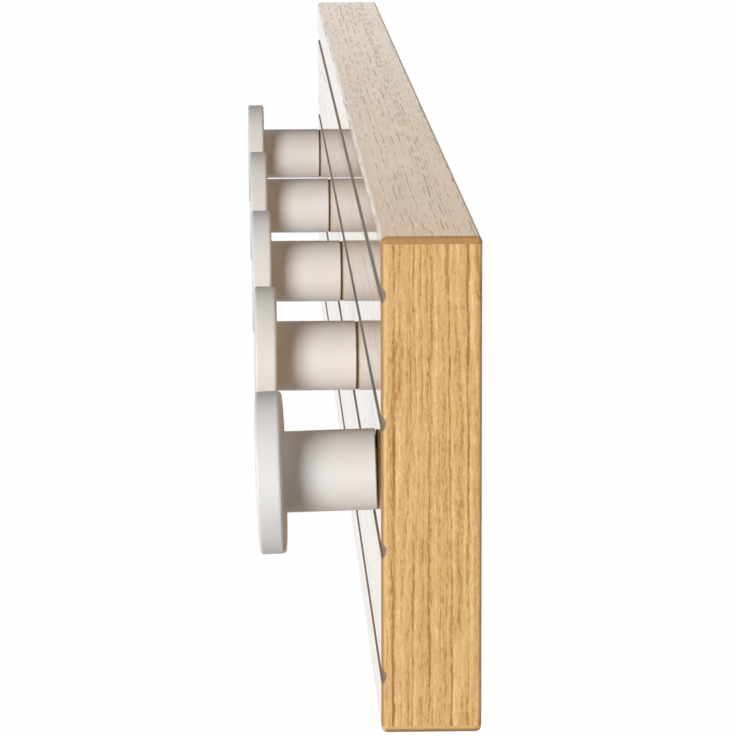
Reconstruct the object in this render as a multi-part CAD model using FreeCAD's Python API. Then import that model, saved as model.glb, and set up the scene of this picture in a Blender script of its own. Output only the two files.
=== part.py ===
import FreeCAD, Part
import os

# Coat hook rail: a veneered, grooved board with a row of disc-headed pegs along its middle.
# The origin is the middle of the back face, which lies on the wall. X runs along the rail,
# the front faces -Y and Z is up. Sizes are in millimetres.

Vector = FreeCAD.Vector

# Board
board_length = 600.0
board_height = 100.0
board_thickness = 20.0
veneer_thickness = 0.6
edge_band_thickness = 1.4      # top and bottom bands, which run the full length
end_band_thickness = 1.4       # bands on the two ends, set between the top and bottom bands
arris_radius = 1.2
groove_count = 4
groove_edge_margin = 11.6      # from the top or bottom of the board to the nearest groove's middle
groove_width = 3.2
groove_depth = 1.1

# Pegs
peg_count = 5
peg_end_margin = 20.0          # from an end of the board to the nearest peg's axis
head_diameter = 33.0
head_thickness = 5.2
head_front_rounding = 0.6
head_back_rounding = 0.9
head_front_wall = 2.0          # wood left in front of the stem's spigot
stem_diameter = 16.5
stem_length = 18.75            # from the foot washer to the back of the head
stem_foot_rounding = 0.3
spigot_diameter = 9.0
glue_clearance = 0.05          # radial room around the spigot and the insert

# Peg fixings
washer_diameter = 16.0
washer_thickness = 0.25
washer_clearance = 0.2         # radial room between a washer and its stud
stud_diameter = 6.0
stud_neck_depth = 0.4          # how far the plain neck is turned down below the threads
stud_neck_length = 3.0
stud_point_length = 4.0
stud_cover = 5.0               # board left behind the stud's point
thread_clearance = 0.05        # radial room between a thread and its hole
insert_wall = 1.5
insert_end_wall = 5.0          # stem left between the insert and the head
stud_end_gap = 1.0             # room between the stud's end and the bottom of the insert

# Wall hangers
hanger_top_margin = 8.0        # from the top of the board to the top of a plate
plate_thickness = 1.6
plate_set_back = 0.1           # how far a plate lies below the back face
plate_land = 3.5               # metal between the holes of a plate, and beyond the outer ones
plate_side = 4.5               # metal at each side of the entry hole
plate_clearance = 0.15         # room between a plate and its recess
entry_diameter = 9.0           # lets a wall screw's head in
slot_width = 4.6               # holds a wall screw's neck
slot_travel = 10.0             # from the entry hole's centre up to the slot's end centre
pocket_side = 1.0              # room at each side of a wall screw's head behind the plate
pocket_depth = 6.0
hanger_screw_diameter = 3.0
hanger_screw_head_diameter = 6.0
hanger_screw_length = 14.0
hanger_screw_point_length = 3.0
cross_recess_width = 0.8
cross_recess_span = 3.2
cross_recess_depth = 1.0

# Places that follow from the sizes
front_face = -board_thickness
core_back = -veneer_thickness
core_front = front_face + veneer_thickness
core_end = board_length / 2 - end_band_thickness
core_top = board_height / 2 - edge_band_thickness
groove_pitch = (board_height - 2 * groove_edge_margin) / (groove_count - 1)
peg_pitch = (board_length - 2 * peg_end_margin) / (peg_count - 1)
peg_places = [peg_end_margin - board_length / 2 + i * peg_pitch for i in range(peg_count)]
stem_foot = front_face - washer_thickness
head_back = stem_foot - stem_length
head_front = head_back - head_thickness
spigot_length = head_thickness - head_front_wall
stud_radius = stud_diameter / 2
insert_radius = stud_radius + thread_clearance + insert_wall
insert_length = stem_length - insert_end_wall
hanger_offset = board_length / 2 - peg_end_margin - peg_pitch / 2
plate_face = -plate_set_back
plate_inner = plate_face - plate_thickness
hanger_screw_head_height = (hanger_screw_head_diameter - hanger_screw_diameter) / 2
plate_top = board_height / 2 - hanger_top_margin
upper_screw_height = plate_top - plate_land - hanger_screw_head_diameter / 2
slot_end_height = upper_screw_height - hanger_screw_head_diameter / 2 - plate_land - slot_width / 2
entry_height = slot_end_height - slot_travel
lower_screw_height = entry_height - entry_diameter / 2 - plate_land - hanger_screw_head_diameter / 2
plate_bottom = lower_screw_height - hanger_screw_head_diameter / 2 - plate_land
plate_end_radius = entry_diameter / 2 + plate_side


def block(x_low, x_high, y_low, y_high, z_low, z_high):
    size = (x_high - x_low, y_high - y_low, z_high - z_low)
    return Part.makeBox(*size, Vector(x_low, y_low, z_low))


def bar(x, z, y_back, y_front, radius):
    # A round bar square to the board, from one depth to another nearer the front.
    return Part.makeCylinder(radius, y_back - y_front, Vector(x, y_back, z), Vector(0, -1, 0))


def taper(x, z, y_back, y_front, back_radius, front_radius):
    # A cone square to the board.
    return Part.makeCone(back_radius, front_radius, y_back - y_front, Vector(x, y_back, z), Vector(0, -1, 0))


def upright_slot(x, z_low, z_high, y_back, y_front, radius):
    # A round-ended slot: the two heights are the centres of its ends.
    side = Vector(radius, 0, 0)
    low = Vector(x, y_back, z_low)
    high = Vector(x, y_back, z_high)
    rise = Vector(0, 0, radius)
    edges = [
        Part.LineSegment(low + side, high + side).toShape(),
        Part.Arc(high + side, high + rise, high - side).toShape(),
        Part.LineSegment(high - side, low - side).toShape(),
        Part.Arc(low - side, low - rise, low + side).toShape(),
    ]
    return Part.Face(Part.Wire(edges)).extrude(Vector(0, y_front - y_back, 0))


def rim(solid, y, radius):
    # The round edges of a turned piece at one depth and radius.
    near = 1e-6
    circles = [edge for edge in solid.Edges if isinstance(edge.Curve, Part.Circle)]
    level = [edge for edge in circles if abs(edge.Curve.Center.y - y) < near]
    return [edge for edge in level if abs(edge.Curve.Radius - radius) < near]


def rounded_rim(solid, y, radius, rounding, wall):
    # Rounds one rim, by no more than a share of its wall, so that two rims leave some flat between.
    largest = 0.45 * wall
    return solid.makeFillet(min(rounding, largest), rim(solid, y, radius))


def grooved_board():
    # The finished outside of the board: rounded arrises and round-bottomed grooves along the front.
    board = block(-board_length / 2, board_length / 2, front_face, 0, -board_height / 2, board_height / 2)
    board = board.makeFillet(arris_radius, board.Edges)
    radius = ((groove_width / 2) ** 2 + groove_depth ** 2) / (2 * groove_depth)
    axis_y = front_face + groove_depth - radius
    for i in range(groove_count):
        height = groove_edge_margin - board_height / 2 + i * groove_pitch
        start = Vector(-board_length / 2, axis_y, height)
        board = board.cut(Part.makeCylinder(radius, board_length, start, Vector(1, 0, 0)))
    return board


def peg_hole(x):
    # The hole for one stud, bored from the front.
    return bar(x, 0, thread_clearance - stud_cover, front_face, stud_radius + thread_clearance)


def hanger_cut(x):
    # What is cut from the back for one hanger: the plate's recess, the pocket and the screw holes.
    recess_radius = plate_end_radius + plate_clearance
    low_centre = plate_bottom + plate_end_radius
    high_centre = plate_top - plate_end_radius
    cut = upright_slot(x, low_centre, high_centre, 0, plate_inner, recess_radius)
    pocket_radius = entry_diameter / 2 + pocket_side
    pocket_floor = plate_inner - pocket_depth
    cut = cut.fuse(upright_slot(x, entry_height, slot_end_height, 0, pocket_floor, pocket_radius))
    for height in (lower_screw_height, upper_screw_height):
        cut = cut.fuse(hanger_screw(x, height, thread_clearance))
    return cut


def board_pieces():
    # The board comes apart into a core, face veneers and edge bands, all cut from one outside shape.
    board = grooved_board()
    for x in peg_places:
        board = board.cut(peg_hole(x))
    for x in (-hanger_offset, hanger_offset):
        board = board.cut(hanger_cut(x))
    end = board_length / 2
    top = board_height / 2
    regions = {
        "core_panel": block(-core_end, core_end, core_front, core_back, -core_top, core_top),
        "back_veneer": block(-core_end, core_end, core_back, 0, -core_top, core_top),
        "top_band": block(-end, end, front_face, 0, core_top, top),
        "bottom_band": block(-end, end, front_face, 0, -top, -core_top),
        "left_end_band": block(-end, -core_end, front_face, 0, -core_top, core_top),
        "right_end_band": block(core_end, end, front_face, 0, -core_top, core_top),
    }
    pieces = {name: board.common(region) for name, region in regions.items()}
    face = board.common(block(-core_end, core_end, front_face, core_front, -core_top, core_top))
    strips = sorted(face.Solids, key=lambda strip: -strip.CenterOfMass.z)
    for number, strip in enumerate(strips, 1):
        pieces[f"front_strip_{number}"] = strip
    return pieces


def peg_head(x):
    # A thick round disc with a blind socket in its back.
    radius = head_diameter / 2
    head = bar(x, 0, head_back, head_front, radius)
    head = rounded_rim(head, head_front, radius, head_front_rounding, head_thickness)
    head = rounded_rim(head, head_back, radius, head_back_rounding, head_thickness)
    socket_radius = spigot_diameter / 2 + glue_clearance
    socket = bar(x, 0, head_back, head_back - spigot_length, socket_radius)
    return head.cut(socket)


def peg_stem(x):
    # A straight round stem with a spigot for the head and a bore for the threaded insert.
    radius = stem_diameter / 2
    stem = bar(x, 0, stem_foot, head_back, radius)
    stem = rounded_rim(stem, stem_foot, radius, stem_foot_rounding, stem_length)
    stem = stem.fuse(bar(x, 0, head_back, head_back - spigot_length, spigot_diameter / 2))
    bore = bar(x, 0, stem_foot, stem_foot - insert_length, insert_radius + glue_clearance)
    return stem.cut(bore)


def foot_washer(x):
    washer = bar(x, 0, front_face, stem_foot, washer_diameter / 2)
    return washer.cut(bar(x, 0, front_face, stem_foot, stud_radius + washer_clearance))


def thread_insert(x):
    # A plain brass sleeve, level with the stem's foot.
    sleeve = bar(x, 0, stem_foot, stem_foot - insert_length, insert_radius)
    return sleeve.cut(bar(x, 0, stem_foot, stem_foot - insert_length, stud_radius + thread_clearance))


def peg_stud(x):
    # A double-ended stud: pointed in the board, blunt in the insert, with a plain neck between.
    point_end = -stud_cover
    point_start = point_end - stud_point_length
    blunt_end = stem_foot - insert_length + stud_end_gap
    stud = taper(x, 0, point_end, point_start, 0, stud_radius)
    stud = stud.fuse(bar(x, 0, point_start, blunt_end, stud_radius))
    neck_start = front_face + stud_neck_length
    waist = bar(x, 0, neck_start, front_face, stud_radius)
    waist = waist.cut(bar(x, 0, neck_start, front_face, stud_radius - stud_neck_depth))
    return stud.cut(waist).removeSplitter()


def hanger_plate(x):
    # A round-ended keyhole plate: entry hole below, narrow slot above, a countersunk hole at each end.
    low_centre = plate_bottom + plate_end_radius
    high_centre = plate_top - plate_end_radius
    plate = upright_slot(x, low_centre, high_centre, plate_face, plate_inner, plate_end_radius)
    plate = plate.cut(bar(x, entry_height, plate_face, plate_inner, entry_diameter / 2))
    plate = plate.cut(upright_slot(x, entry_height, slot_end_height, plate_face, plate_inner, slot_width / 2))
    for height in (lower_screw_height, upper_screw_height):
        plate = plate.cut(hanger_screw(x, height, thread_clearance))
    return plate


def hanger_screw(x, z, room=0.0):
    # A countersunk wood screw, level with the plate. With room it is the hole that the screw sits in.
    neck = plate_face - hanger_screw_head_height
    point_start = plate_face - hanger_screw_length + hanger_screw_point_length
    point_end = plate_face - hanger_screw_length - room
    radius = hanger_screw_diameter / 2 + room
    screw = taper(x, z, plate_face, neck, hanger_screw_head_diameter / 2 + room, radius)
    screw = screw.fuse(bar(x, z, neck, point_start, radius))
    return screw.fuse(taper(x, z, point_start, point_end, radius, 0))


def crossed_hanger_screw(x, z):
    # The same screw with a cross recess in its head.
    screw = hanger_screw(x, z)
    half_width = cross_recess_width / 2
    half_span = cross_recess_span / 2
    floor = plate_face - cross_recess_depth
    screw = screw.cut(block(x - half_width, x + half_width, floor, plate_face, z - half_span, z + half_span))
    return screw.cut(block(x - half_span, x + half_span, floor, plate_face, z - half_width, z + half_width))


def all_nodes():
    nodes = board_pieces()
    for number, x in enumerate(peg_places, 1):
        nodes[f"peg_head_{number}"] = peg_head(x)
        nodes[f"peg_stem_{number}"] = peg_stem(x)
    nodes["foot_washers"] = Part.makeCompound([foot_washer(x) for x in peg_places])
    nodes["thread_inserts"] = Part.makeCompound([thread_insert(x) for x in peg_places])
    nodes["peg_studs"] = Part.makeCompound([peg_stud(x) for x in peg_places])
    screws = []
    for side, x in (("left", -hanger_offset), ("right", hanger_offset)):
        nodes[f"{side}_hanger_plate"] = hanger_plate(x)
        for height in (lower_screw_height, upper_screw_height):
            screws.append(crossed_hanger_screw(x, height))
    nodes["hanger_screws"] = Part.makeCompound(screws)
    return nodes


os.makedirs("parts", exist_ok=True)
for name, shape in all_nodes().items():
    shape.exportStep(f"parts/{name}.step")
    state = "valid" if shape.isValid() else "not valid"
    print(name, len(shape.Solids), "solids", round(shape.Volume, 1), "mm3", state)
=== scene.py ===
import math
import bpy
from mathutils import Matrix, Vector


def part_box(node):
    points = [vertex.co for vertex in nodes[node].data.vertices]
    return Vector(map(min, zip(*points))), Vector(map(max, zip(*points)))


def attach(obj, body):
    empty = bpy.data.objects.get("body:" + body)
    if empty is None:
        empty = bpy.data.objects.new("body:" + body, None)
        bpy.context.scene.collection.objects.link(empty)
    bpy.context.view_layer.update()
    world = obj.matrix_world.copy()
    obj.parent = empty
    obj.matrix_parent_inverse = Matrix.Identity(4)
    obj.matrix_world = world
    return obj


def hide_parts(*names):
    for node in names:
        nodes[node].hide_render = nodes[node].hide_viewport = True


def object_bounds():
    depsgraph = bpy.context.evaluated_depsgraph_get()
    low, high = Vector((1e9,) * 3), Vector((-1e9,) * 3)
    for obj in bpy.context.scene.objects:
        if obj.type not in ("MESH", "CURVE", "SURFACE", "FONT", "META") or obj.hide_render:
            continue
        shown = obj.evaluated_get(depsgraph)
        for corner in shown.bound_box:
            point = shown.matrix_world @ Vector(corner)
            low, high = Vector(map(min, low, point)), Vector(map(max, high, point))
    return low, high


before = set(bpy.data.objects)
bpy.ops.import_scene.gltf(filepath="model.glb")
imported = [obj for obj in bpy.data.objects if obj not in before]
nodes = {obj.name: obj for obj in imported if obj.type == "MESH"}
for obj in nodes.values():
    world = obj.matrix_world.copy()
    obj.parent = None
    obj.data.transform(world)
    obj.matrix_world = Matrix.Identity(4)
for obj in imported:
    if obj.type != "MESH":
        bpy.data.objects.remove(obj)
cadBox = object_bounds()   # the box of the plain part, before anything is dressed
mm = 0.001
print("frame: %d nodes" % len(nodes))


def linear(hexColour):   # sRGB hex to the linear values that shaders take
    parts = [int(hexColour[i:i + 2], 16) / 255 for i in (1, 3, 5)]
    return [c / 12.92 if c <= 0.04045 else ((c + 0.055) / 1.055) ** 2.4 for c in parts] + [1.0]


def add(tree, kind, inputs=None, **settings):   # one node with its settings, values and links
    node = tree.nodes.new(kind)
    for name, value in settings.items():
        setattr(node, name, value)
    for name, value in (inputs or {}).items():
        if isinstance(value, bpy.types.NodeSocket):
            tree.links.new(value, node.inputs[name])
        else:
            node.inputs[name].default_value = value
    return node


def blankMaterial(name):   # a material with an empty tree
    material = bpy.data.materials.new(name)
    material.use_nodes = True
    material.node_tree.nodes.clear()
    return material, material.node_tree


def setShades(ramp, shades):   # colour stops, dark to pale
    stops = ramp.color_ramp.elements
    while len(stops) < len(shades):
        stops.new(1.0)
    for stop, (position, shade) in zip(stops, shades):
        stop.position = position
        stop.color = linear(shade)


def endSurface(tree, colour, roughness, height, bumpDepth, **extra):   # shader and output of a finish
    bump = add(tree, "ShaderNodeBump", {"Height": height, "Distance": bumpDepth * mm})
    inputs = {"Base Color": colour, "Roughness": roughness, "Normal": bump.outputs[0]}
    inputs.update(extra)
    shader = add(tree, "ShaderNodeBsdfPrincipled", inputs)
    add(tree, "ShaderNodeOutputMaterial", {"Surface": shader.outputs[0]})


def dress(material, names):   # gives CAD nodes a finish
    for name in names:
        slots = nodes[name].data.materials
        slots.clear()
        slots.append(material)


def grainScale(look, across, along):   # pattern scale from a feature's mm across and along the fibres
    scale = [1 / (across * mm)] * 3
    scale[look["grainAxis"]] = 1 / (along * mm)
    return scale


def swayingFibres(tree, look, place):   # fibres wander sideways, never along themselves
    across, along, reach = look["sway"]
    bend = [reach * mm] * 3
    bend[look["grainAxis"]] = 0
    space = add(tree, "ShaderNodeMapping", {"Vector": place, "Scale": grainScale(look, across, along)})
    drift = add(tree, "ShaderNodeTexNoise", {"Vector": space.outputs[0], "Scale": 1.0, "Detail": 3.0})
    inputs = {0: drift.outputs["Color"], 1: bend, 2: place}
    return add(tree, "ShaderNodeVectorMath", inputs, operation="MULTIPLY_ADD").outputs[0]


def growthRings(tree, look, ring, fibres, grain):   # how far off, strong and broken the nearest ring edge is
    noises = []
    for across, along in (ring["wanderSize"], ring["breakSize"]):
        inputs = {"Vector": fibres, "Scale": grainScale(look, across, along), "Location": look["shift"]}
        space = add(tree, "ShaderNodeMapping", inputs)
        noise = add(tree, "ShaderNodeTexNoise", {"Vector": space.outputs[0], "Scale": 1.0, "Detail": 1.5})
        noises.append(noise.outputs["Fac"])
    side = add(tree, "ShaderNodeSeparateXYZ", {0: fibres}).outputs[look["ringAxis"]]
    wander = add(tree, "ShaderNodeMath", {0: noises[0], 1: ring["wander"]}, operation="MULTIPLY").outputs[0]
    inputs = {0: side, 1: 1 / (ring["spacing"] * mm), 2: wander}
    count = add(tree, "ShaderNodeMath", inputs, operation="MULTIPLY_ADD").outputs[0]
    edge = add(tree, "ShaderNodeMath", {0: count}, operation="ROUND").outputs[0]
    offset = add(tree, "ShaderNodeMath", {0: count, 1: edge}, operation="SUBTRACT").outputs[0]
    distance = add(tree, "ShaderNodeMath", {0: offset}, operation="ABSOLUTE").outputs[0]
    chance = add(tree, "ShaderNodeTexWhiteNoise", {"W": edge}, noise_dimensions="1D").outputs["Value"]

    wide = ring["width"] / ring["spacing"]
    values = {"line": distance, "rise": offset, "fall": offset, "unbroken": noises[1], "strength": chance}
    limits = {shape: (none * wide, full * wide) for shape, (none, full) in look["ringShape"].items()}
    limits.update(unbroken=ring["breaks"], strength=ring["strengths"])
    shapes = {}
    for shape, (none, full) in limits.items():
        inputs = {"Value": values[shape], "From Min": none, "From Max": full}
        curve = add(tree, "ShaderNodeMapRange", inputs, interpolation_type="SMOOTHSTEP")
        shapes[shape] = curve.outputs[0]
    for tone, first, second in (("dark", "line", "unbroken"), ("pale", "rise", "fall")):
        inputs = {0: shapes[first], 1: shapes[second]}
        mark = add(tree, "ShaderNodeMath", inputs, operation="MULTIPLY").outputs[0]
        inputs = {0: mark, 1: shapes["strength"]}
        mark = add(tree, "ShaderNodeMath", inputs, operation="MULTIPLY").outputs[0]
        inputs = {0: mark, 1: ring[tone], 2: grain}
        grain = add(tree, "ShaderNodeMath", inputs, operation="MULTIPLY_ADD").outputs[0]
    return grain


def edgeStainsAndShade(tree, look, place, colour, roughness):   # darker or paler than the face: cut edges and joints without their lacquer, and painted shade along some arrises
    axes = add(tree, "ShaderNodeSeparateXYZ", {0: place}).outputs
    length = add(tree, "ShaderNodeMath", {0: axes[0]}, operation="ABSOLUTE").outputs[0]
    corner = add(tree, "ShaderNodeMath", {0: length, 1: axes[2]}, operation="SUBTRACT").outputs[0]
    reaches = {"length": length, "depth": axes[1], "height": axes[2], "lower corner": corner}
    # each entry is a real stain or joint, or a strip of painted shade
    for edgeTone in look["stainsAndShade"]:
        inputs = {"Value": reaches[edgeTone["along"]], "From Min": edgeTone["start"] * mm,
                  "From Max": edgeTone["full"] * mm, "To Max": edgeTone["share"]}
        mask = add(tree, "ShaderNodeMapRange", inputs, interpolation_type="SMOOTHSTEP").outputs[0]
        inputs = {0: mask, 6: colour, 7: linear(edgeTone["colour"])}   # a mix takes colours at sockets 6 and 7
        colour = add(tree, "ShaderNodeMix", inputs, data_type="RGBA").outputs[2]
        inputs = {0: mask, 2: roughness, 3: edgeTone["roughness"]}   # and plain values at 2 and 3
        roughness = add(tree, "ShaderNodeMix", inputs, data_type="FLOAT").outputs[0]
    return colour, roughness


# Oak, sliced into veneer and bands, with a satin lacquer that turns into a pale mirror at a low angle.
# Ring-porous wood: each growth ring starts with a dark line of open pores beside a paler streak, and short
# pore dashes lie between, all along the fibres.
def oakMaterial(name, look):
    material, tree = blankMaterial(name)
    place = add(tree, "ShaderNodeTexCoord").outputs["Object"]
    fibres = swayingFibres(tree, look, place)

    # One value from dark to pale, which each layer of streaks shifts up or down about its middle
    grain = 0.5 - 0.5 * sum(weight for across, along, weight in look["streaks"])
    for across, along, weight in look["streaks"]:
        inputs = {"Vector": fibres, "Scale": grainScale(look, across, along), "Location": look["shift"]}
        space = add(tree, "ShaderNodeMapping", inputs)
        inputs = {"Vector": space.outputs[0], "Scale": 1.0, "Detail": 1.0, "Distortion": look["curl"]}
        streak = add(tree, "ShaderNodeTexNoise", inputs)
        inputs = {0: streak.outputs["Fac"], 1: weight, 2: grain}
        grain = add(tree, "ShaderNodeMath", inputs, operation="MULTIPLY_ADD").outputs[0]

    for ring in look["rings"]:
        grain = growthRings(tree, look, ring, fibres, grain)

    # Pore dashes
    across, along, weight = look["pores"]
    space = add(tree, "ShaderNodeMapping", {"Vector": fibres, "Scale": grainScale(look, across, along)})
    cells = add(tree, "ShaderNodeTexVoronoi", {"Vector": space.outputs[0], "Scale": 1.0}).outputs["Distance"]
    none, full = look["poreShape"]
    inputs = {"Value": cells, "From Min": none, "From Max": full, "To Max": weight}
    dash = add(tree, "ShaderNodeMapRange", inputs, interpolation_type="SMOOTHSTEP").outputs[0]
    grain = add(tree, "ShaderNodeMath", {0: grain, 1: dash}).outputs[0]

    # Colour from dark to pale, drifting between yellower and redder wood
    shades = add(tree, "ShaderNodeValToRGB", {0: grain})
    setShades(shades, look["shades"])
    across, along = look["tintSize"]
    space = add(tree, "ShaderNodeMapping", {"Vector": fibres, "Scale": grainScale(look, across, along)})
    drift = add(tree, "ShaderNodeTexNoise", {"Vector": space.outputs[0], "Scale": 1.0, "Detail": 2.0})
    tints = add(tree, "ShaderNodeValToRGB", {0: drift.outputs["Fac"]})
    setShades(tints, look["tints"])
    inputs = {0: 1.0, 6: shades.outputs[0], 7: tints.outputs[0]}
    colour = add(tree, "ShaderNodeMix", inputs, data_type="RGBA", blend_type="MULTIPLY").outputs[2]

    # The lacquer bridges the fibres but sinks into lines and pores
    smooth, porous = look["roughness"]
    sunk, bridged = look["lacquerRange"]
    inputs = {"Value": grain, "From Min": sunk, "From Max": bridged, "To Min": porous, "To Max": smooth}
    roughness = add(tree, "ShaderNodeMapRange", inputs).outputs[0]
    colour, roughness = edgeStainsAndShade(tree, look, place, colour, roughness)
    endSurface(tree, colour, roughness, grain, look["relief"])
    return material


halfLength = cadBox[1].x / mm
halfHeight = cadBox[1].z / mm
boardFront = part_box("front_strip_1")[0].y / mm

# What every oak piece shares. Sizes are in mm: streaks and pores as width, length and weight, sway as width,
# length and reach. Each stain, and each strip of painted shade, grows from start to full along one axis; the
# lower corner is length less height.
oak = {
    "shades": [(0.0, "#996d33"), (0.25, "#b5894c"), (0.5, "#cfaa72"), (0.75, "#deb985"), (1.0, "#edcd9f")],
    "tints": [(0.38, "#fffbec"), (0.62, "#fff8f4")], "tintSize": (2.0, 9.0),   # laid over the shades
    "ringShape": {"line": (0.8, 0.2), "rise": (0.4, 1.2), "fall": (3.2, 1.4)},   # in widths: none, full
    "poreShape": (0.32, 0.12),   # in pore cells: none, full
    "lacquerRange": (0.15, 0.55),   # grain values where the lacquer has sunk in and where it bridges
    "curl": 0.0, "relief": 0.02,
}
endOak = dict(oak, **{   # upright fibres on the two ends
    "grainAxis": 2, "ringAxis": 1, "shift": (3.1, 7.4, 1.7), "sway": (2.4, 6.0, 0.9), "curl": 0.7,
    "roughness": (0.25, 0.5),
    "streaks": [(4.0, 60.0, 0.25), (0.75, 22.0, 0.35), (0.5, 4.0, 0.75), (0.4, 1.0, 0.65)],
    "rings": [
        {"spacing": 3.7, "width": 0.5, "wander": 1.2, "wanderSize": (9.0, 150.0), "breakSize": (1.2, 40.0),
         "breaks": (0.3, 0.54), "strengths": (-0.9, 0.8), "dark": -0.5, "pale": 0.2},
        {"spacing": 1.6, "width": 0.36, "wander": 5.0, "wanderSize": (7.0, 90.0), "breakSize": (0.7, 12.0),
         "breaks": (0.3, 0.54), "strengths": (-0.9, 0.8), "dark": -0.2, "pale": 0.14},
    ],
    "pores": (0.8, 5.0, -0.1),
    "stainsAndShade": [   # painted shade on the back arris, a dull strip beside the front arris, that arris (a dark joint with the front veneer, widened as painted shade over its highlight), the joint with the top band
        # painted shade: the back arris darkened as if turned away from the light
        {"along": "depth", "start": -0.75, "full": -0.2, "share": 0.55,
         "colour": "#85593a", "roughness": 0.7},
        {"along": "depth", "start": boardFront + 1.2, "full": boardFront + 0.8, "share": 0.6,
         "colour": "#cba66e", "roughness": 0.8},
        # partly a dark joint with the front veneer, partly painted shade that dulls the highlight on the
        # arris
        {"along": "depth", "start": boardFront + 0.8, "full": boardFront + 0.25, "share": 0.8,
         "colour": "#98703f", "roughness": 0.7},
        {"along": "height", "start": halfHeight - 1.6, "full": halfHeight - 1.25, "share": 0.6,
         "colour": "#8c5f2c", "roughness": 0.7},
    ],
})
faceOak = dict(oak, **{   # fibres along the rail on the front, whose grooves are cut through to a brown core
    "grainAxis": 0, "ringAxis": 2, "shift": (5.3, 2.2, 8.6), "sway": (9.0, 40.0, 2.0),
    "shades": [(0.0, "#8e6b43"), (0.25, "#ac885b"), (0.5, "#c8a577"), (0.75, "#d7b488"), (1.0, "#e6c9a2")],
    "roughness": (0.06, 0.12), "relief": 0.003,
    "streaks": [(8.0, 120.0, 0.40), (1.2, 70.0, 0.40), (0.6, 12.0, 0.40), (0.8, 2.5, 0.15)],
    "rings": [
        {"spacing": 4.6, "width": 0.6, "wander": 4.0, "wanderSize": (14.0, 260.0), "breakSize": (0.9, 14.0),
         "breaks": (0.3, 0.54), "strengths": (-0.9, 0.8), "dark": -0.36, "pale": 0.12},
    ],
    "pores": (1.1, 9.0, -0.22),
    "stainsAndShade": [   # the grooves' flanks
        {"along": "depth", "start": boardFront + 0.02, "full": boardFront + 0.12, "share": 1.0,
         "colour": "#7d6a57", "roughness": 0.5},
    ],
})
backOak = dict(faceOak, stainsAndShade=[], shift=(2.4, 9.1, 3.3))   # another leaf of the same veneer
bandOak = dict(oak, **{   # the long top band, with brown end grain at both ends
    "grainAxis": 0, "ringAxis": 1, "shift": (1.9, 4.8, 6.1), "sway": (4.0, 30.0, 0.8),
    "shades": [(0.0, "#916d2c"), (0.3, "#c09653"), (0.5, "#ddb376"), (1.0, "#ecc98f")], "relief": 0.03,
    "roughness": (0.09, 0.225),
    "streaks": [(6.0, 90.0, 0.35), (0.9, 50.0, 0.30), (0.4, 11.0, 1.00)],
    "rings": [
        {"spacing": 0.75, "width": 0.28, "wander": 2.0, "wanderSize": (4.0, 55.0), "breakSize": (1.2, 12.0),
         "breaks": (0.44, 0.62), "strengths": (0.1, 0.9), "dark": -0.8, "pale": 0.35},
    ],
    "pores": (0.5, 12.0, -0.05),
    "stainsAndShade": [   # painted contact shadow on the back arris, a darker strip along the arris at each end, the end grain itself
        # painted shadow: a grey line along the back arris, as where the rail meets a wall
        {"along": "depth", "start": -1.0, "full": -0.7, "share": 0.9,
         "colour": "#948f87", "roughness": 0.9},
        {"along": "length", "start": halfLength - 1.4, "full": halfLength - 1.0, "share": 0.75,
         "colour": "#8f683a", "roughness": 0.7},
        {"along": "length", "start": halfLength - 0.55, "full": halfLength - 0.2, "share": 0.7,
         "colour": "#b0824c", "roughness": 0.7},
    ],
})
lowerBandOak = dict(bandOak, shift=(7.7, 3.5, 2.8), stainsAndShade=[   # pale end grain over painted shade on the lower edge
    {"along": "length", "start": halfLength - 0.9, "full": halfLength - 0.5, "share": 0.75,
     "colour": "#cfa76d", "roughness": 0.5},
    # painted shade: the arris between end and underside darkened as if facing away from the light
    {"along": "lower corner", "start": halfLength + halfHeight - 1.1, "full": halfLength + halfHeight - 0.6,
     "share": 0.85, "colour": "#7a5833", "roughness": 0.7},
])
dress(oakMaterial("oak end band, satin lacquer", endOak), ["left_end_band", "right_end_band"])
dress(oakMaterial("oak veneer, satin lacquer", faceOak), ["front_strip_%d" % n for n in range(1, 6)])
dress(oakMaterial("oak balancing veneer, satin lacquer", backOak), ["back_veneer"])
dress(oakMaterial("oak edge band, satin lacquer", bandOak), ["top_band"])
dress(oakMaterial("oak lower edge band, satin lacquer", lowerBandOak), ["bottom_band"])
print("oak dressed")


# Fibreboard core: pressed wood fibre, matte, with fine pale and dark specks where a cutter has opened it.
fibreboard = {
    "shades": [(0.3, "#85705b"), (0.5, "#ae977d"), (0.72, "#c6b094")], "fleckSize": 0.5,   # sizes in mm
    "pitSize": 0.8, "pitDepth": 0.05, "roughness": 1.0, "shine": 0.15,
}


def fibreboardMaterial(look):
    material, tree = blankMaterial("fibreboard core")
    place = add(tree, "ShaderNodeTexCoord").outputs["Object"]
    inputs = {"Vector": place, "Scale": 1 / (look["fleckSize"] * mm), "Detail": 3.0}
    fleck = add(tree, "ShaderNodeTexNoise", inputs).outputs["Fac"]
    inputs = {"Vector": place, "Scale": 1 / (look["pitSize"] * mm)}
    pit = add(tree, "ShaderNodeTexVoronoi", inputs).outputs["Distance"]
    colours = add(tree, "ShaderNodeValToRGB", {0: fleck})
    setShades(colours, look["shades"])
    shine = {"Specular IOR Level": look["shine"]}
    endSurface(tree, colours.outputs[0], look["roughness"], pit, look["pitDepth"], **shine)
    return material


dress(fibreboardMaterial(fibreboard), ["core_panel"])


# Greige lacquer sprayed on turned wood: smooth and matte, with a faint orange peel and a slow drift of tone.
lacquer = {
    "shades": [(0.3, "#d8d5d3"), (0.7, "#dfdddb")], "driftSize": 14.0, "peelSize": 0.7, "peelDepth": 0.012,
    "roughness": 0.46,
}


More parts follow.
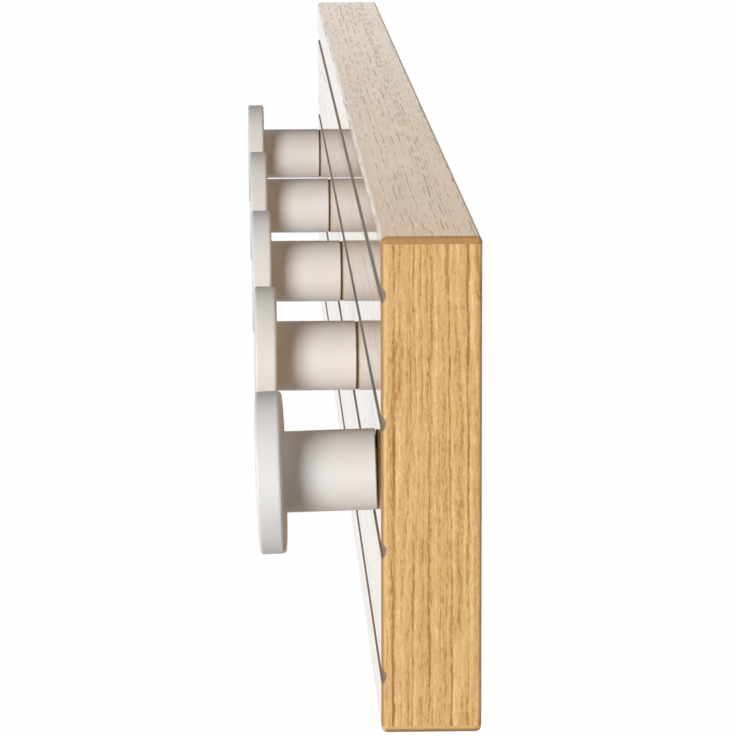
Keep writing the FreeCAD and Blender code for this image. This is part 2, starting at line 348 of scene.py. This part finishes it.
def lacquerMaterial(look):
    material, tree = blankMaterial("greige lacquer on turned wood")
    place = add(tree, "ShaderNodeTexCoord").outputs["Object"]
    inputs = {"Vector": place, "Scale": 1 / (look["driftSize"] * mm), "Detail": 3.0}
    drift = add(tree, "ShaderNodeTexNoise", inputs).outputs["Fac"]
    colours = add(tree, "ShaderNodeValToRGB", {0: drift})
    setShades(colours, look["shades"])
    inputs = {"Vector": place, "Scale": 1 / (look["peelSize"] * mm), "Detail": 1.0}
    peel = add(tree, "ShaderNodeTexNoise", inputs).outputs["Fac"]
    endSurface(tree, colours.outputs[0], look["roughness"], peel, look["peelDepth"])
    return material


# Vulcanised fibre washers: dark brown, dull, with a felted grain; their brown is set darker than the fibre's
# own, as painted shade in the gap at each foot.
washer = {
    # painted shade: these browns are darker than the fibre itself, to deepen the gap under each stem
    "shades": [(0.3, "#23170f"), (0.7, "#3a291e")], "feltSize": 0.6, "feltDepth": 0.03, "roughness": 0.8,
}


def washerMaterial(look):
    material, tree = blankMaterial("brown vulcanised fibre darkened as painted shade")
    place = add(tree, "ShaderNodeTexCoord").outputs["Object"]
    inputs = {"Vector": place, "Scale": 1 / (look["feltSize"] * mm), "Detail": 4.0}
    felt = add(tree, "ShaderNodeTexNoise", inputs).outputs["Fac"]
    colours = add(tree, "ShaderNodeValToRGB", {0: felt})
    setShades(colours, look["shades"])
    endSurface(tree, colours.outputs[0], look["roughness"], felt, look["feltDepth"])
    return material


# Plated and turned metal: fine lines from drawing or turning, which change its gloss, and clouds of tone.
metals = {   # sizes in mm
    "zinc plated steel": {
        "shades": [(0.3, "#b4b6b8"), (0.7, "#d2d4d5")], "cloudSize": 6.0, "roughness": (0.24, 0.48),
        "lineAxis": 2, "lineWidth": 0.25, "lineLength": 15.0, "lineDepth": 0.006,
        "nodes": ["left_hanger_plate", "right_hanger_plate", "hanger_screws", "peg_studs"],
    },
    "turned brass": {
        "shades": [(0.3, "#c9a45a"), (0.7, "#dcbc76")], "cloudSize": 6.0, "roughness": (0.2, 0.44),
        "lineAxis": 1, "lineWidth": 0.2, "lineLength": 12.0, "lineDepth": 0.006,
        "nodes": ["thread_inserts"],
    },
}


def metalMaterial(name, look):
    material, tree = blankMaterial(name)
    place = add(tree, "ShaderNodeTexCoord").outputs["Object"]
    scale = [1 / (look["lineWidth"] * mm)] * 3
    scale[look["lineAxis"]] = 1 / (look["lineLength"] * mm)
    space = add(tree, "ShaderNodeMapping", {"Vector": place, "Scale": scale}).outputs[0]
    lines = add(tree, "ShaderNodeTexNoise", {"Vector": space, "Scale": 1.0, "Detail": 2.0}).outputs["Fac"]
    inputs = {"Vector": place, "Scale": 1 / (look["cloudSize"] * mm), "Detail": 3.0}
    cloud = add(tree, "ShaderNodeTexNoise", inputs).outputs["Fac"]
    colours = add(tree, "ShaderNodeValToRGB", {0: cloud})
    setShades(colours, look["shades"])
    smooth, dull = look["roughness"]
    roughness = add(tree, "ShaderNodeMapRange", {"Value": lines, "To Min": smooth, "To Max": dull}).outputs[0]
    endSurface(tree, colours.outputs[0], roughness, lines, look["lineDepth"], Metallic=1.0)
    return material


dress(washerMaterial(washer), ["foot_washers"])
for name, look in metals.items():
    dress(metalMaterial(name, look), look["nodes"])
print("core and metals dressed")


# Pegs: a turned stem with a disc head, five in a row. One tree turns the profile and sets it at each foot.
pegLook = {
    "frontRounding": 0.6, "backRounding": 0.9, "footRounding": 0.3,   # mm, as in the CAD
    "sides": 160, "arcSteps": 7, "softAngle": 40,   # edges under this many degrees are shaded smooth
    "loosePeg": 5, "droop": 2.0, "turn": -2.0,   # degrees: the end peg sits a little askew
    "pivot": (0.2, 0, 0.2),   # mm from the foot's middle, towards the side that lifts
}


def pegProfile(tree, given):   # half outline from the foot's middle to the middle of the head's face
    stemRadius, stemLength, headRadius = (given[n] for n in ("Stem Radius", "Stem Length", "Head Radius"))
    reach = add(tree, "ShaderNodeMath", {0: stemLength, 1: given["Head Thickness"]}).outputs[0]
    corners = [   # outward, along, rounding
        (None, None, None), (stemRadius, None, given["Foot Rounding"]), (stemRadius, stemLength, None),
        (headRadius, stemLength, given["Back Rounding"]), (headRadius, reach, given["Front Rounding"]),
        (None, reach, None),
    ]
    index = add(tree, "GeometryNodeInputIndex").outputs[0]
    spot = add(tree, "GeometryNodeIndexSwitch", {"Index": index}, data_type="VECTOR")
    radius = add(tree, "GeometryNodeIndexSwitch", {"Index": index}, data_type="FLOAT")
    while len(spot.index_switch_items) < len(corners):
        spot.index_switch_items.new()
        radius.index_switch_items.new()
    for number, (outward, onward, rounding) in enumerate(corners, 1):
        inputs = {axis: value for axis, value in (("X", outward), ("Y", onward)) if value}
        point = add(tree, "ShaderNodeCombineXYZ", inputs).outputs[0]
        tree.links.new(point, spot.inputs[number])
        if rounding:
            tree.links.new(rounding, radius.inputs[number])
    line = add(tree, "GeometryNodeCurvePrimitiveLine").outputs[0]
    line = add(tree, "GeometryNodeResampleCurve", {"Curve": line, "Count": len(corners)}).outputs[0]
    line = add(tree, "GeometryNodeSetPosition", {"Geometry": line, "Position": spot.outputs[0]}).outputs[0]
    inputs = {"Curve": line, "Count": given["Arc Steps"], "Radius": radius.outputs[0]}
    return add(tree, "GeometryNodeFilletCurve", inputs, mode="POLY").outputs[0]


def pegTree():
    tree = bpy.data.node_groups.new("pegRow", "GeometryNodeTree")
    tree.interface.new_socket("Geometry", in_out="OUTPUT", socket_type="NodeSocketGeometry")
    sockets = {
        "First Foot": "Vector", "Last Foot": "Vector", "Pegs": "Int", "Head Radius": "Float",
        "Head Thickness": "Float", "Front Rounding": "Float", "Back Rounding": "Float",
        "Stem Radius": "Float", "Stem Length": "Float", "Foot Rounding": "Float", "Sides": "Int",
        "Arc Steps": "Int", "Soft Angle": "Float", "Loose Peg": "Int", "Lean": "Vector",
        "Lean Pivot": "Vector", "Finish": "Material",
    }
    for name, kind in sockets.items():
        tree.interface.new_socket(name, in_out="INPUT", socket_type="NodeSocket" + kind)
    given = add(tree, "NodeGroupInput").outputs

    # The profile is turned round a point-sized circle, and one copy stands at each foot
    pointSize, weldReach = 1e-6, 1e-5   # metres
    inputs = {"Resolution": given["Sides"], "Radius": pointSize}
    circle = add(tree, "GeometryNodeCurvePrimitiveCircle", inputs).outputs[0]
    circle = add(tree, "GeometryNodeSetCurveNormal", {"Curve": circle}, mode="Z_UP").outputs[0]
    inputs = {"Curve": circle, "Profile Curve": pegProfile(tree, given)}
    peg = add(tree, "GeometryNodeCurveToMesh", inputs).outputs[0]
    peg = add(tree, "GeometryNodeMergeByDistance", {"Geometry": peg, "Distance": weldReach}).outputs[0]
    inputs = {"Count": given["Pegs"], "Start Location": given["First Foot"], "Offset": given["Last Foot"]}
    feet = add(tree, "GeometryNodeMeshLine", inputs, mode="END_POINTS").outputs[0]
    inputs = {"Points": feet, "Instance": peg, "Rotation": (-math.pi / 2, 0, 0)}   # lays the stem along -Y
    row = add(tree, "GeometryNodeInstanceOnPoints", inputs).outputs[0]

    # One peg leans about its foot, and all are shaded smooth except at their sharp edges
    index = add(tree, "GeometryNodeInputIndex").outputs[0]
    inputs = {2: index, 3: given["Loose Peg"]}
    loose = add(tree, "FunctionNodeCompare", inputs, data_type="INT", operation="EQUAL").outputs[0]
    foot = add(tree, "GeometryNodeInputPosition").outputs[0]
    pivot = add(tree, "ShaderNodeVectorMath", {0: foot, 1: given["Lean Pivot"]}).outputs[0]
    inputs = {"Instances": row, "Selection": loose, "Pivot Point": pivot, "Rotation": given["Lean"],
              "Local Space": False}
    row = add(tree, "GeometryNodeRotateInstances", inputs).outputs[0]
    row = add(tree, "GeometryNodeRealizeInstances", {"Geometry": row}).outputs[0]
    angle = add(tree, "GeometryNodeInputMeshEdgeAngle").outputs[0]
    inputs = {0: angle, 1: given["Soft Angle"]}
    gentle = add(tree, "ShaderNodeMath", inputs, operation="LESS_THAN").outputs[0]
    row = add(tree, "GeometryNodeSetShadeSmooth", {"Geometry": row}).outputs[0]
    inputs = {"Geometry": row, "Shade Smooth": gentle}
    row = add(tree, "GeometryNodeSetShadeSmooth", inputs, domain="EDGE").outputs[0]
    row = add(tree, "GeometryNodeSetMaterial", {"Geometry": row, "Material": given["Finish"]}).outputs[0]
    add(tree, "NodeGroupOutput", {0: row})
    return tree


def makePegs(look, finish):
    heads = [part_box("peg_head_%d" % n) for n in range(1, 6)]
    stems = [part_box("peg_stem_%d" % n) for n in range(1, 6)]
    feet = [Vector(((low.x + high.x) / 2, high.y, (low.z + high.z) / 2)) for low, high in stems]
    sizes = {
        "First Foot": feet[0], "Last Foot": feet[-1], "Pegs": len(feet),
        "Head Radius": (heads[0][1].x - heads[0][0].x) / 2, "Head Thickness": heads[0][1].y - heads[0][0].y,
        "Stem Radius": (stems[0][1].x - stems[0][0].x) / 2, "Stem Length": stems[0][1].y - heads[0][1].y,
        "Front Rounding": look["frontRounding"] * mm, "Back Rounding": look["backRounding"] * mm,
        "Foot Rounding": look["footRounding"] * mm, "Sides": look["sides"], "Arc Steps": look["arcSteps"],
        "Soft Angle": math.radians(look["softAngle"]),
        "Loose Peg": look["loosePeg"] - 1, "Lean Pivot": Vector(look["pivot"]) * mm,
        "Lean": (math.radians(look["droop"]), 0, math.radians(look["turn"])), "Finish": finish,
    }
    pegs = bpy.data.objects.new("peg_row", bpy.data.meshes.new("pegRowSeed"))
    bpy.context.scene.collection.objects.link(pegs)
    turned = pegs.modifiers.new("turned pegs", "NODES")
    turned.node_group = pegTree()
    for item in turned.node_group.interface.items_tree:
        if item.in_out == "INPUT":
            turned[item.identifier] = sizes[item.name]
    pegs.modifiers.new("flat faces stay flat", "WEIGHTED_NORMAL").keep_sharp = True
    solid = bpy.data.meshes.new_from_object(pegs.evaluated_get(bpy.context.evaluated_depsgraph_get()))
    pegs.modifiers.clear()
    pegs.data = solid
    solid.name = "pegRow"
    return pegs


pegs = makePegs(pegLook, lacquerMaterial(lacquer))
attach(pegs, "root")
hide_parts(*["peg_%s_%d" % (kind, n) for kind in ("head", "stem") for n in range(1, 6)])
print("pegs: %d faces" % len(pegs.data.polygons))


# Camera at the photograph's place: past the near end, close to the wall and a little above the row.
cameraLook = {
    "lens": 194.65, "sensor": 36, "place": (1071.17, -47.69, 155.14),   # mm
    "yaw": 1.867, "pitch": 9.639, "roll": -0.143,   # degrees
}


def makeCamera(look):
    yaw, pitch, roll = (math.radians(look[k]) for k in ("yaw", "pitch", "roll"))
    ahead = Vector((-math.cos(yaw) * math.cos(pitch), math.sin(yaw) * math.cos(pitch), -math.sin(pitch)))
    right = ahead.cross(Vector((0, 0, 1))).normalized()
    up = right.cross(ahead)
    rightRolled = right * math.cos(roll) + up * math.sin(roll)
    upRolled = up * math.cos(roll) - right * math.sin(roll)
    turned = Matrix((rightRolled, upRolled, -ahead)).transposed().to_4x4()
    camera = bpy.data.objects.new("camera", bpy.data.cameras.new("camera"))
    camera.data.lens = look["lens"]
    camera.data.sensor_width = look["sensor"]
    camera.matrix_world = Matrix.Translation(Vector(look["place"]) * mm) @ turned
    bpy.context.scene.collection.objects.link(camera)
    bpy.context.scene.camera = camera


makeCamera(cameraLook)


# Stage: a floor well below the rail, white to the camera but grey in the light that it throws back, and soft
# light from several sides.
stageLook = {
    "floorDrop": 0.6, "floorSize": 120.0,   # metres
    "floorColour": "#505050", "floorWhite": 0.97, "ambient": 0.07,
    "surroundings": [(3.3, "#ffffff"), (6.4, "#dddddd"), (15.0, "#bababa")],   # degrees up, mirrored grey
    "keyDistance": 4.0,   # metres from the rail's middle, so that the key falls off a little along the rail
    "lamps": {   # direction to the lamp, level on a white surface that faces it, softness in degrees
        "key": ((0.814, -0.581, 0.0), 1.16, 27),
        "side fill": ((0.9, 0.38, 0.2), 0.08, 20),
        "front fill": ((-0.2, -0.9, 0.38), 0.05, 30),
        "top back": ((-0.1, 0.79, 0.6), 0.64, 25),
        "top fill": ((0.3, 0.4, 0.866), 0.15, 15),
        "left fill": ((-0.95, 0.3, 0.2), 0.5, 12),
    },
}


def whiteToCamera(tree, mirrored):   # 1 where the camera looks, and this level in reflections and glass
    path = add(tree, "ShaderNodeLightPath").outputs
    seen = path["Is Camera Ray"]
    for ray in ("Is Glossy Ray", "Is Transmission Ray"):
        level = add(tree, "ShaderNodeMath", {0: path[ray], 1: mirrored}, operation="MULTIPLY").outputs[0]
        seen = add(tree, "ShaderNodeMath", {0: seen, 1: level}, operation="MAXIMUM").outputs[0]
    return seen


def makeFloor(look):
    half = look["floorSize"] / 2
    level = cadBox[0].z - look["floorDrop"]
    corners = [(-half, -half, level), (half, -half, level), (half, half, level), (-half, half, level)]
    mesh = bpy.data.meshes.new("floor")
    mesh.from_pydata(corners, [], [(0, 1, 2, 3)])
    floor = bpy.data.objects.new("floor", mesh)
    bpy.context.scene.collection.objects.link(floor)
    material, tree = blankMaterial("pale floor")
    seen = whiteToCamera(tree, 1.0)
    share = add(tree, "ShaderNodeMath", {0: seen, 1: look["floorWhite"]}, operation="MULTIPLY").outputs[0]
    inputs = {0: seen, 6: linear(look["floorColour"]), 7: linear("#ffffff")}
    colour = add(tree, "ShaderNodeMix", inputs, data_type="RGBA").outputs[2]
    plain = add(tree, "ShaderNodeBsdfDiffuse", {"Color": colour})
    white = add(tree, "ShaderNodeEmission", {"Color": linear("#ffffff"), "Strength": 1.0})
    mixed = add(tree, "ShaderNodeMixShader", {0: share, 1: plain.outputs[0], 2: white.outputs[0]})
    add(tree, "ShaderNodeOutputMaterial", {"Surface": mixed.outputs[0]})
    mesh.materials.append(material)


def makeSurroundings(look):   # white behind the rail, and greys that its lacquer mirrors
    world = bpy.data.worlds.new("studio")
    bpy.context.scene.world = world
    world.use_nodes = True
    tree = world.node_tree
    tree.nodes.clear()
    upwards = add(tree, "ShaderNodeTexCoord").outputs["Generated"]   # in a world this is the ray's direction
    upwards = add(tree, "ShaderNodeSeparateXYZ", {0: upwards}).outputs["Z"]
    mirrored = add(tree, "ShaderNodeValToRGB", {0: upwards})
    setShades(mirrored, [(math.sin(math.radians(angle)), grey) for angle, grey in look["surroundings"]])
    inputs = {0: whiteToCamera(tree, mirrored.outputs[0]), 1: look["ambient"]}
    strength = add(tree, "ShaderNodeMath", inputs, operation="MAXIMUM").outputs[0]
    sky = add(tree, "ShaderNodeBackground", {"Color": linear("#ffffff"), "Strength": strength}).outputs[0]
    add(tree, "ShaderNodeOutputWorld", {"Surface": sky})


def makeLamps(look):
    distance = look["keyDistance"]
    for name, (direction, level, softness) in look["lamps"].items():
        lamp = bpy.data.objects.new(name, bpy.data.lights.new(name, "AREA" if name == "key" else "SUN"))
        towards = Vector(direction).normalized()
        if name == "key":
            lamp.data.shape = "DISK"
            lamp.data.size = 2 * distance * math.tan(math.radians(softness / 2))
            lamp.data.energy = level * (math.pi * distance) ** 2
        else:
            lamp.data.angle = math.radians(softness)
            lamp.data.energy = level * math.pi
            lamp.visible_glossy = False   # the fills leave no highlights
        lamp.location = towards * distance
        lamp.rotation_mode = "QUATERNION"
        lamp.rotation_quaternion = towards.to_track_quat("Z", "Y")
        bpy.context.scene.collection.objects.link(lamp)


makeFloor(stageLook)
makeSurroundings(stageLook)
makeLamps(stageLook)
bpy.context.scene.view_settings.view_transform = "Standard"
print("camera and light set")
